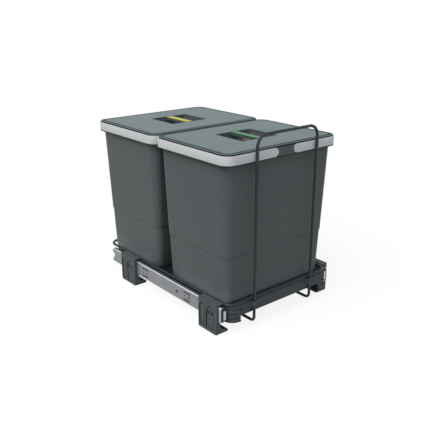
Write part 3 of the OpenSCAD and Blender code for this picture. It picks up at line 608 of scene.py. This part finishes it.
def bucketRings(values):
    # from the underside's middle up the outside, over the collar and down the inside to the floor. On the
    # straight walls, rings stand close to each edge and far apart between, so that the walls shade flat
    wall, step, edge, foot = values["wall"], values["beltStep"], values["edge"], values["foot"]
    height, belt, collar = values["height"], values["belt"], values["collar"]
    top, corner = height + values["flange"], values["corner"]
    rim = top + values["rise"]
    base = values["baseInset"] + step
    near, far = 4 * edge, 10 * edge  # how far the next rings stand from an edge
    low, middle, high = 1.6 * belt, 2 * belt, 2.2 * belt  # rings on the plain walls between belt and flange
    fillet = 3 * edge  # the round under the flange
    turned = 0.3 * edge  # halfway round an edge, it has drawn in by this much
    flatInset, flatCorner = 2.5 * foot, 4 * foot  # the flat caps of the underside and the floor
    turn = quarterTurn(values["steps"])

    def sloped(level, extra=0.0):
        # on the tapered walls; their corners draw in by half as much as their sides
        inset = values["baseInset"] + (values["topInset"] - values["baseInset"]) * level / height + extra
        return (inset, corner - inset / 2, level)

    def upright(inset, level):
        # on the collar; its corners draw in by as much as its sides
        return (inset, corner - inset, level)

    def footRound(inset, lift):
        # a quarter round from a flat up to a wall
        return [(inset + foot * (1 - np.sin(angle)), corner - inset / 2, lift + foot * (1 - np.cos(angle)))
                for angle in turn]

    rings = [(base + flatInset, flatCorner, 0.0)]
    rings += footRound(base, 0.0)
    rings += [sloped(level, step) for level in (foot + edge, belt / 2, belt - near, belt - edge)]
    rings += [sloped(level) for level in (belt + edge, belt + near, low, high, height - far)]
    reach = sloped(height)[0]
    rings += [(reach - fillet * (1 - np.cos(angle)), corner - reach / 2,
               height - fillet * (1 - np.sin(angle))) for angle in turn[1:]]
    outer = [(edge, height), (turned, height + turned), (0, height + edge),
             (0, top - edge), (turned, top - turned), (edge, top),
             (collar - edge, top), (collar, top + edge), (collar, rim - edge),
             (collar + turned, rim - turned), (collar + edge, rim)]
    inner = [(wall - edge, rim), (wall - turned, rim - turned), (wall, rim - edge),
             (wall, top + edge), (wall, top)]
    rings += [upright(inset, level) for inset, level in outer]
    rings += [upright(collar + inset, level) for inset, level in inner]
    rings += [sloped(level, wall) for level in (top, top - edge, height - far, middle, belt + edge)]
    rings += [sloped(level, wall + step) for level in (belt - edge, belt - near)]
    rings += footRound(base + wall, wall)[::-1]
    rings.append((base + wall + flatInset, flatCorner, wall))
    return rings


bucketRows = ringRows(bucketRings(bucketSet), bucketSet["width"], bucketSet["depth"])
for bin in bins:
    node = f"bucket_{bin}"
    rows = bucketRows + (*middleOf(node)[:2], underside(node))
    shell = gridPiece(f"bucketShell_{bin}", rows, plastic["bucket"], f"bin_{bin}")
    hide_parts(f"bucket_{bin}")


# The grip between the ends of the light band

gripSet = {"half": 20.4 * mm, "groove": 0.7 * mm, "deep": 1.2 * mm, "at": 6.8 * mm, "from": 0.1, "full": 0.14,
           "inset": 0.2 * mm, "thick": 3.8 * mm, "rise": rimSet["rise"], "edge": 0.6 * mm, "points": 121,
           "steps": 5}


def gripRows(values):
    # the plan's front edge dips by a bell curve at each groove, from a share of the height up; it is lofted
    # upwards and draws in at the top
    half = values["half"]
    across = np.linspace(-half, half, values["points"])
    dip = sum(np.exp(-((across - at) / values["groove"]) ** 2) for at in (-values["at"], values["at"]))
    turn = quarterTurn(values["steps"])
    drawn = 1 - values["edge"] / values["rise"] * (1 - np.sin(turn))
    levels = np.concatenate(((0, values["from"], values["full"]), drawn))
    deep = np.concatenate(((0, 0, 1), np.ones_like(turn))) * values["deep"]
    draw = np.concatenate(((0, 0, 0), 1 - np.cos(turn))) * values["edge"]
    wide = across[None, :] * (1 - draw[:, None] / half)
    front = values["inset"] + draw[:, None] + deep[:, None] * dip[None, :]
    rear = np.full_like(front, values["thick"])
    height = np.broadcast_to(levels[:, None] * values["rise"], (len(levels), 2 * len(across)))
    plan = np.dstack((np.hstack((wide, wide[:, ::-1])), np.hstack((front, rear))))
    return np.dstack((plan, height))


for bin in bins:
    low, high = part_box(f"rim_band_{bin}")
    place = ((low[0] + high[0]) / 2, low[1], low[2])
    gridPiece(f"gripPad_{bin}", gripRows(gripSet) + place, plastic["bucket"], f"bin_{bin}")


# The light band round a rim

bandSet = {**rimSet, "tall": 17.4 * mm, "thick": 2 * mm, "down": 0.3 * mm, "blunt": 0.08, "edge": 0.6 * mm,
           "gripHalf": gripSet["half"] + 0.2 * mm, "steps": 17}


def bandRows(values):
    # a tall thin section carried round the rim from one side of the grip to the other; at both ends its
    # height follows a half circle, down to a blunt tip
    outline = roundedOutline(values["width"], values["depth"], values["corner"])
    outline = np.roll(outline, len(outline) // 4, 0)
    end = values["tall"] / 2
    turn = quarterTurn(values["steps"])
    tip = values["gripHalf"] + end * (1 - np.cos(turn))
    front = np.full(len(turn), -values["depth"] / 2)
    right = np.column_stack((tip, front))
    path = np.vstack((right, outline, (right * (-1, 1))[::-1]))
    share = np.maximum(np.sin(turn), values["blunt"])
    share = np.concatenate((share, np.ones(len(outline)), share[::-1]))
    thick = values["thick"]
    section = roundedSection(((0, -end), (0, end), (thick, end), (thick, -end)), values["edge"])
    return carriedRows(path, section, closed=False, share=share)


for bin in bins:
    place = middleOf(f"rim_band_{bin}") - (0, 0, bandSet["down"])
    rows = bandRows(bandSet) + place
    band = gridPiece(f"lightBand_{bin}", rows, plastic["band"], f"bin_{bin}")
    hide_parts(f"rim_band_{bin}")


# The lid's dark edge with the skirt under it

lidSet = {**rimSet, "inset": rimSet["collar"], "edgeWide": 9.5 * mm, "edgeTall": 4 * mm, "skirtIn": 2.6 * mm,
          "skirtWall": 1.8 * mm, "skirtDeep": 8 * mm, "ledge": 8 * mm, "panel": 1.9 * mm, "lip": 2 * mm,
          "seamAt": 4.3 * mm, "seam": 1.7 * mm, "drop": 0.8 * mm, "round": 0.3 * mm}


def lidOutline(values):
    # the lid's outline in plan, just inside the collar
    inset = values["inset"]
    width, depth = values["width"] - 2 * inset, values["depth"] - 2 * inset
    return roundedOutline(width, depth, values["corner"] - inset)


def lidSection(values):
    # one closed section: sloped strip, seam, seat of the panel, ledge, skirt
    wide, tall, skirt = values["edgeWide"], values["edgeTall"], values["skirtIn"]
    near, seam = values["seamAt"], values["seam"]
    inner = skirt + values["skirtWall"]
    reach = inner + values["ledge"]
    seat = tall - values["panel"]
    under = seat - values["lip"]
    strip = [(0, 0), (0, tall - values["drop"]), (near, tall)]
    groove = [(near, tall - seam), (near + seam, tall - seam), (near + seam, tall)]
    ledge = [(wide, tall), (wide, seat), (reach, seat), (reach, under), (inner, under)]
    skirtWalls = [(inner, -values["skirtDeep"]), (skirt, -values["skirtDeep"]), (skirt, 0)]
    return roundedSection(strip + groove + ledge + skirtWalls, values["round"])


def paintLitStrip(piece, values, section):
    # the sloped strip takes a lighter copy of the edge's plastic, as painted light; the rest keeps the dark
    # copy, which also stands for painted shade on the walls, the seam and the flat beside it. A quad's place
    # in the section tells the strip from the others
    mesh = piece.data
    mesh.materials.append(plastic["litLidStrip"])
    inset, height = ((section + np.roll(section, -1, 0)) / 2).T
    strip = (inset < values["seamAt"]) & (height > values["edgeTall"] - values["drop"])
    turns = len(mesh.polygons) // len(strip)
    mesh.polygons.foreach_set("material_index", np.tile(strip, turns).astype(np.int32))


section = lidSection(lidSet)
edgeRows = carriedRows(lidOutline(lidSet), section, closed=True)
for bin in bins:
    node = f"lid_frame_{bin}"
    rows = edgeRows + (*middleOf(node)[:2], topOf(node) - lidSet["edgeTall"])
    edge = gridPiece(f"lidEdge_{bin}", rows, plastic["lidEdge"], f"lid_{bin}",
                     closed=True)
    paintLitStrip(edge, lidSet, section)
    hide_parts(f"lid_frame_{bin}")


# The coloured caps that straddle the bars in the lids' wells

capSet = {"wide": 14.8 * mm, "deep": 1.6 * mm, "wall": 0.35 * mm, "round": 0.12 * mm,
          "front": ("tabGreen", "tab_green"), "rear": ("tabYellow", "tab_yellow")}


def capRows(values, length):
    # a channel open below, drawn along the bar
    half = values["wide"] / 2
    inner = half - values["wall"]
    deep, under = -values["deep"], -values["wall"]
    outside = [(-half, deep), (-half, 0), (half, 0), (half, deep)]
    inside = [(inner, deep), (inner, under), (-inner, under), (-inner, deep)]
    section = roundedSection(outside + inside, values["round"])
    return np.array([np.insert(section, 1, at, 1) for at in (-length / 2, length / 2)])


for bin in bins:
    low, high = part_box(f"lid_tab_{bin}")
    finish, slot = capSet[bin]
    rows = capRows(capSet, high[1] - low[1]) + (*middleOf(f"lid_tab_{bin}")[:2], high[2])
    cap = gridPiece(f"tabCap_{bin}", rows, plastic[finish], f"lid_{bin}")
    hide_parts(f"lid_tab_{bin}")


# The rubber frames round the bent tabs on the inner members' front ends

guardSet = {"wide": 11.4 * mm, "tall": 25.4 * mm, "corner": 3 * mm, "border": 2.4 * mm, "thick": 0.9 * mm,
            "round": 0.25 * mm, "hold": 0.3 * mm, "tabMiddle": 145.2 * mm, "frontSet": 0.2 * mm}


def guardRows(values):
    # a small section carried round an upright rounded rectangle
    outline = roundedOutline(values["wide"], values["tall"], values["corner"], hold=values["hold"])
    border, thick = values["border"], values["thick"]
    section = roundedSection(((0, 0), (0, thick), (border, thick), (border, 0)), values["round"])
    return carriedRows(outline, section, closed=True)[..., (0, 2, 1)]


for side, sign in zip(sides, (-1, 1)):
    node = f"inner_member_{side}"
    place = (sign * guardSet["tabMiddle"], frontOf(node) + guardSet["frontSet"], middleOf(node)[2])
    rows = guardRows(guardSet) + place
    gridPiece(f"noseGuard_{side}", rows, bufferRubber, "carriage", closed=True)


# Wires: the hoop with its two hooks, and the ring round the buckets

wireSet = {"across": 6 * mm, "hoopCorner": 22 * mm, "hookBend": 10 * mm, "ringCorner": 22 * mm,
           "play": 0.2 * mm, "steps": 14}


def hoopPath(values):
    # up from one hook's rear end, round the hoop and down to the other hook's rear end
    low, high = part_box("pull_hoop")
    half = values["across"] / 2
    left, right = low[0] + half, high[0] - half
    front, rear = low[1] + half, high[1] - half
    under, top = low[2] + half, high[2] - half
    rearTop = topOf("base_wires") - values["across"] - values["play"]
    corners = ((left, rear, rearTop), (left, rear, under), (left, front, under), (left, front, top),
               (right, front, top), (right, front, under), (right, rear, under), (right, rear, rearTop))
    bend, corner = values["hookBend"], values["hoopCorner"]
    return bentPath(corners, (0, bend, bend, corner, corner, bend, bend, 0), values["steps"])


def ringPath(values):
    # once round the buckets' feet, anticlockwise from the right front corner
    low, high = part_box("base_ring")
    half = values["across"] / 2
    left, right, front, rear = low[0] + half, high[0] - half, low[1] + half, high[1] - half
    spots = ((right, front), (right, rear), (left, rear), (left, front))
    corners = [(*spot, low[2] + half) for spot in spots]
    return bentPath(corners, [values["ringCorner"]] * len(corners), values["steps"], closed=True)


wire = wireSet["across"] / 2
hoop = gridPiece("hoopWire", tubeRows(hoopPath(wireSet), wire), framePaint, "carriage")
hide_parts("pull_hoop")
ringTube = tubeRows(ringPath(wireSet), wire, closed=True)
ring = gridPiece("ringWire", ringTube, framePaint, "carriage", closed=True)
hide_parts("base_ring")


# Softened edges of the pieces that keep their CAD shape

edgeSet = {"weld": 0.005 * mm, "steps": 2, "sharper": np.radians(35), "widths": {
    0.4 * mm: both("bracket_front", "bracket_rear", "corner_block") + ["front_rail"],
    0.35 * mm: both("side_rail", "rear_buffer") + ["hoop_clips", "cross_rail"]
    + [f"{stem}_{bin}" for stem in ("lid_panel", "lid_handle") for bin in bins],
    0.2 * mm: both("outer_member", "middle_member", "inner_member", "member_screws", "rail_screws",
                   "front_bumper"),
}}


def softenEdges(name, width, values):
    piece = nodes[name]
    weld = piece.modifiers.new("weld", "WELD")
    weld.merge_threshold = values["weld"]
    bevel = piece.modifiers.new("softEdges", "BEVEL")
    bevel.width = width
    bevel.segments = values["steps"]
    bevel.limit_method = "ANGLE"
    bevel.angle_limit = values["sharper"]
    bevel.harden_normals = True


for width, names in edgeSet["widths"].items():
    for name in names:
        softenEdges(name, width, edgeSet)
print("edges softened")


# Camera, floor and light

cameraSet = {
    "place": (-0.8278, -1.0146, 0.6152),  # in metres
    "forward": (0.60441, 0.72161, -0.33758),
    "focal": 50.27,  # both lens values are in millimetres
    "sensor": 36.0,
}


def addCamera(values):
    forward = Vector(values["forward"]).normalized()
    right = forward.cross(Vector((0, 0, 1))).normalized()
    up = right.cross(forward)
    data = bpy.data.cameras.new("photoCamera")
    data.lens = values["focal"]
    data.sensor_width = values["sensor"]
    camera = bpy.data.objects.new("photoCamera", data)
    bpy.context.scene.collection.objects.link(camera)
    turn = Matrix((right, up, -forward)).transposed().to_4x4()
    camera.matrix_world = Matrix.Translation(Vector(values["place"])) @ turn
    bpy.context.scene.camera = camera


white = (1, 1, 1, 1)
lightSet = {
    "sky": 0.3,
    "skyTint": (0.9, 1.0, 1.06, 1),
    "suns": (  # each shines from a direction, and its spread is in degrees
        {"name": "keySun", "from": (-0.57, -0.1, 0.78), "strength": 2.8, "spread": 50},
        {"name": "fillSun", "from": (-0.1, -0.97, 0.15), "strength": 0.55, "spread": 60},
    ),
}


def addSun(values):
    data = bpy.data.lights.new(values["name"], "SUN")
    data.energy = values["strength"]
    data.angle = np.radians(values["spread"])
    sun = bpy.data.objects.new(values["name"], data)
    bpy.context.scene.collection.objects.link(sun)
    sun.rotation_euler = (-Vector(values["from"])).to_track_quat("-Z", "Y").to_euler()


def seenDirectly(finish):
    # 1 for rays from the camera, in a mirror or through glass
    camera, glossy, through = (finish.add("LightPath", {}, {}, name)
                               for name in ("Is Camera Ray", "Is Glossy Ray", "Is Transmission Ray"))
    return finish.maths("MINIMUM", camera + glossy + through, 1.0)


def addSky(strength, tint):
    # the camera and the metal see plain white; other light is dimmer and tinted
    world = bpy.data.worlds.new("studio")
    bpy.context.scene.world = world
    world.use_nodes = True
    background = world.node_tree.nodes["Background"]
    finish = Finish(tree=world.node_tree)
    direct = seenDirectly(finish)
    finish.feed(background.inputs["Color"], finish.mix(direct, tint, white))
    finish.feed(background.inputs["Strength"], direct * (1 - strength) + strength)


floorSet = {"half": 8.0, "glow": 0.88, "paint": (0.28, 0.31, 0.33, 1)}


def addFloor(values):
    # the camera and the metal see a white floor that keeps part of the object's shadow; other light sees grey
    half = values["half"]
    mesh = bpy.data.meshes.new("studioFloor")
    corners = [(half * x, half * y, 0) for x, y in ((-1, -1), (1, -1), (1, 1), (-1, 1))]
    mesh.from_pydata(corners, [], [(0, 1, 2, 3)])
    floor = bpy.data.objects.new("studioFloor", mesh)
    bpy.context.scene.collection.objects.link(floor)
    finish = Finish("floorPaint")
    direct = seenDirectly(finish)
    finish.close(Base_Color=finish.mix(direct, values["paint"], white), Roughness=1.0)
    glow = finish.add("Emission", {}, {"Color": white, "Strength": 1.0})
    paint = Socket(finish, finish.shader.outputs[0])
    lit = finish.add("MixShader", {}, {0: direct * values["glow"], 1: paint, 2: glow})
    finish.tree.links.new(lit.out, finish.end.inputs[0])
    mesh.materials.append(finish.material)


addCamera(cameraSet)
addSky(lightSet["sky"], lightSet["skyTint"])
for sun in lightSet["suns"]:
    addSun(sun)
addFloor(floorSet)
bpy.context.scene.view_settings.view_transform = "Standard"
print("camera, floor and lamps in place")
